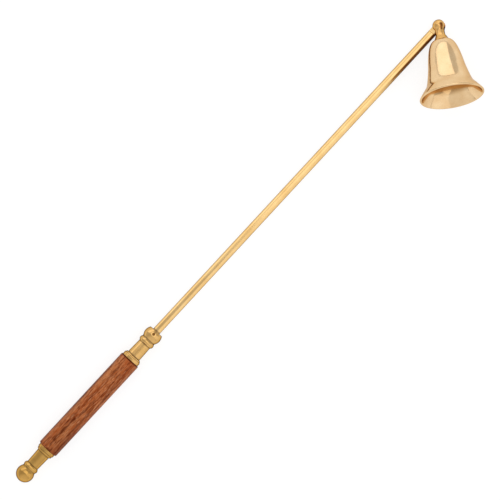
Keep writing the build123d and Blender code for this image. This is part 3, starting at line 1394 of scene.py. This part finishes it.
    def dress_bell(self, brass: Brass, stud: Brass, pin: Brass) -> None:
        """Builds and dresses every piece that swings.

        Args:
            brass: the finish of the bell.
            stud: the finish of its stud.
            pin: the finish of the hinge pin.
        """
        seat(self.build(), brass.material(), Body.BELL, "bell_brass", "bell")
        seat(self.build_stud(), stud.material(), Body.BELL, "bell_brass", "fork_stud")
        dress_node("hinge_pin", pin.material())


# Studio
@dataclass(frozen=True)
class Card:
    """A glowing card that the camera doesn't see.

    Its middle is given to the right and up in the picture and above the rod's middle. Its width runs at
    the bearing, counted from the picture's right towards its top. Its depth runs square to that, and the
    lean lifts it: none hangs flat, and a quarter turn stands upright.
    """

    name: str
    right: float
    up: float
    height: float
    width: float
    depth: float
    bearing: float
    lean: float
    light: float

    def corners(self) -> Array:
        """The four corners, to the right, up and above the rod's middle, in millimetres.

        Formula: the middle plus and minus half the width along (cos b, sin b, 0) and half the depth
        along (-sin b cos l, cos b cos l, sin l), for the bearing b and the lean l.

        Returns:
            Four rows of three numbers.
        """
        bearing, lean = radians(self.bearing), radians(self.lean)
        across = np.array([cos(bearing), sin(bearing), 0]) * self.width / 2
        along = np.array([-sin(bearing) * cos(lean), cos(bearing) * cos(lean), sin(lean)]) * self.depth / 2
        signs = np.array([[-1, -1], [1, -1], [1, 1], [-1, 1]])
        return np.array([self.right, self.up, self.height]) + signs @ np.array([across, along])


@dataclass
class Studio:
    """The camera straight above the table, the cards round it and the white floor.

    The turn is the angle between the rod and the picture's right. The floor slopes a little, because the
    snuffer lies on its grip and its bell. The near light is a brighter stretch of the room, at an azimuth
    clockwise from the picture's top, and it fades in between two cosines of the angle off its middle.
    """

    turn: float = 47.23
    middle: Pair = (122.5, -7.4)
    picture_width: float = 275.0
    camera_height: float = 2000.0
    camera_reach: float = 20000.0
    sensor: float = 36.0
    floor_touch: Pair = (32.8, -6.02)
    floor_slope: float = 2.4 / 250.7
    floor_reach: float = 4000.0
    floor_glow: float = 0.8
    floor_shaded: str = "#8C8C8C"
    floor_matt: str = "#EAEAEA"
    sky_seen: float = 1.0
    sky: float = 0.6
    sky_height: float = 0.7
    horizon: float = 0.72
    near_azimuth: float = 192.0
    near_height: float = 32.0
    near_light: float = 0.3
    near_spread: Pair = (0.5, 0.85)
    cards: tuple[Card, ...] = (
        Card("window", -541, 1816, 830, 2620, 1300, 20, 100, 1.42),
        Card("high_softbox", -627, 1532, 2000, 1550, 1450, 47, -35, 1.0),
        Card("right_softbox", 1425, -742, 1150, 1430, 2370, 47, 62, 1.12),
        Card("overhead_softbox", 617, 668, 2300, 1780, 2600, 47, 0, 1.4),
    )

    def place(self, right: float, up: float, height: float) -> Vector:
        """A place over the table, measured along the picture's sides.

        Args:
            right: how far to the picture's right of its middle, in millimetres.
            up: how far towards its top.
            height: how far above the rod's middle.

        Returns:
            The place in the part's frame, in metres.
        """
        angle = radians(self.turn)
        x = self.middle[0] + right * cos(angle) + up * sin(angle)
        y = self.middle[1] - right * sin(angle) + up * cos(angle)
        return Vector((x, y, height)) * MM

    def way(self, azimuth: float, elevation: float) -> Triple:
        """The direction at an azimuth, clockwise from the picture's top, and a height, in degrees."""
        across, turned = cos(radians(elevation)), radians(azimuth + self.turn)
        return across * sin(turned), across * cos(turned), sin(radians(elevation))

    def add_camera(self) -> None:
        """Adds the camera, which sees the picture's width at the height of the rod."""
        data = bpy.data.cameras.new("camera")
        data.sensor_width = self.sensor
        data.lens = self.sensor * self.camera_height / self.picture_width
        data.clip_end = self.camera_reach * MM
        camera = add_object("camera", data)
        camera.location = self.place(0, 0, self.camera_height)
        camera.rotation_euler = (0, 0, -radians(self.turn))
        bpy.context.scene.camera = camera

    def add_card(self, card: Card) -> bpy.types.Object:
        """Hangs a card, hidden from the camera.

        Args:
            card: what to hang and where.

        Returns:
            The card's object.
        """
        material = blank_material(card.name)
        glow = add_node(material.node_tree, "Emission", {"Color": linear(WHITE), "Strength": card.light})
        add_node(material.node_tree, "OutputMaterial", {"Surface": glow.outputs[0]})
        hung = add_quad(card.name, [self.place(*corner) for corner in card.corners()], material)
        hung.visible_camera = False
        return hung

    def add_floor(self) -> bpy.types.Object:
        """Lays the floor under the grip's front edge and the bell's rim.

        The camera and the brass's reflections see a white table with the object's shadow on it, and light
        that bounces off it comes from a matt one.

        Returns:
            The floor's object.
        """
        far = self.floor_reach * MM
        low = self.floor_touch[1] * MM - self.floor_slope * self.floor_touch[0] * MM
        sides = ((-far, -far), (far, -far), (far, far), (-far, far))
        material = blank_material("white_table")
        tree = material.node_tree
        rays = add_node(tree, "LightPath").outputs
        seen = add_node(tree, "Math", {0: rays["Is Camera Ray"], 1: rays["Is Glossy Ray"]}, operation="ADD")
        clear = add_node(
            tree,
            "Math",
            {0: seen.outputs[0], 1: rays["Is Transmission Ray"]},
            operation="ADD",
            use_clamp=True,
        )
        matt = add_node(tree, "BsdfDiffuse", {"Color": linear(self.floor_matt)})
        shaded = add_node(tree, "BsdfDiffuse", {"Color": linear(self.floor_shaded)})
        glow = add_node(tree, "Emission", {"Color": linear(WHITE), "Strength": self.floor_glow})
        lit = add_node(tree, "AddShader", {0: shaded.outputs[0], 1: glow.outputs[0]})
        shown = add_node(tree, "MixShader", {0: clear.outputs[0], 1: matt.outputs[0], 2: lit.outputs[0]})
        add_node(tree, "OutputMaterial", {"Surface": shown.outputs[0]})
        return add_quad("floor", [(x, y, low + self.floor_slope * x) for x, y in sides], material)

    def add_world(self) -> None:
        """Fills the room with plain light, stronger low down and on the near side.

        The camera sees plain white there.
        """
        world = bpy.data.worlds.new("room")
        world.use_nodes = True
        tree = world.node_tree
        tree.nodes.clear()
        rays = add_node(tree, "LightPath")
        outward = add_node(tree, "TexCoord").outputs["Generated"]
        height = add_node(tree, "SeparateXYZ", {0: outward}).outputs["Z"]
        fade = add_node(
            tree,
            "MapRange",
            {"Value": height, "From Max": self.sky_height, "To Min": self.horizon, "To Max": self.sky},
        )
        near_way = self.way(self.near_azimuth, self.near_height)
        near = add_node(tree, "VectorMath", {0: outward, 1: near_way}, operation="DOT_PRODUCT")
        start, full = self.near_spread
        wall = add_node(
            tree,
            "MapRange",
            {
                "Value": near.outputs["Value"],
                "From Min": start,
                "From Max": full,
                "To Max": self.near_light,
            },
        )
        level = add_node(tree, "Math", {0: fade.outputs[0], 1: wall.outputs[0]}, operation="ADD")
        shown = {0: rays.outputs["Is Camera Ray"], 2: level.outputs[0], 3: self.sky_seen}
        strength = add_node(tree, "Mix", shown)
        light = add_node(tree, "Background", {"Color": linear(WHITE), "Strength": strength.outputs[0]})
        add_node(tree, "OutputWorld", {"Surface": light.outputs[0]})
        bpy.context.scene.world = world

    def build(self) -> None:
        """Sets up everything that isn't the object."""
        bpy.context.scene.view_settings.view_transform = "Standard"
        self.add_camera()
        self.add_world()
        self.add_floor()
        [self.add_card(card) for card in self.cards]
        log.info("studio with %d cards", len(self.cards))


def main() -> None:
    """Builds the studio and the snuffer, piece by piece."""
    logging.basicConfig(level=logging.INFO, format="%(message)s")
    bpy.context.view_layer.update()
    Studio().build()
    # Sand-cast and turned, then buffed along its length: soft reflections with fine long streaks.
    ferrule = Brass("buffed_cast_brass", "#DCB06E", "#CC9E56", "#3A1E0A", roughness=0.13)
    # The same brass where the palm rubs it: smoother and browner.
    pommel = Brass("handled_cast_brass", "#CFA156", "#BB8C42", "#33200C", roughness=0.1, lacquer=0.2)
    # Drawn through a die: bright, with streaks that run on and on.
    # Its hollow colour paints the dark reflection of the bell and the shadow at the ferrule's mouth.
    rod = Brass("drawn_brass", "#EEC88A", "#E2B672", "#5A3010", roughness=0.1, streaks=Streaks(length=14.0))
    # Turned thin and buffed all over under the thickest lacquer: pale, and bright out to its outline.
    shell = Brass(
        "buffed_bell_brass",
        "#EACA9C",
        "#DEB684",
        # The hollow colour also paints the shade and reflection deep inside the bell.
        "#A8742A",
        roughness=0.14,
        streaks=Streaks(length=6.0, width=6.0),
        streak_depth=0.012,
        lacquer=0.3,
        edge="#D8C0A0",
    )
    # Turned and lightly buffed, as is the hinge pin: a satin gold.
    stud = Brass(
        "buffed_stud_brass",
        "#E6B672",
        "#D8A45A",
        # Its hollow colour paints the dark reflection on the ball's flank.
        "#824608",
        roughness=0.22,
        streaks=Streaks(length=4.0, width=4.0),
        streak_depth=0.0015,
    )
    # Hammered over and never buffed: dull and dark.
    dark_pin = Brass(
        "tarnished_brass_pin",
        "#8A5A26",
        "#6F4519",
        "#2E1A08",
        roughness=0.4,
        streaks=Streaks(length=1.0, width=1.0),
        streak_depth=0.02,
    )
    # Bright drawn steel, hidden in the grip.
    steel = Brass(
        "bright_steel", "#B9BBBD", "#A6A8AA", "#55565A", roughness=0.35, streak_depth=0.02, lacquer=0.0
    )
    Handle().dress_handle(ferrule, pommel, Rosewood(), steel, dark_pin)
    Rod().dress_rod(rod)
    SnuffingBell().dress_bell(shell, stud, stud)


if __name__ == "__main__":
    main()
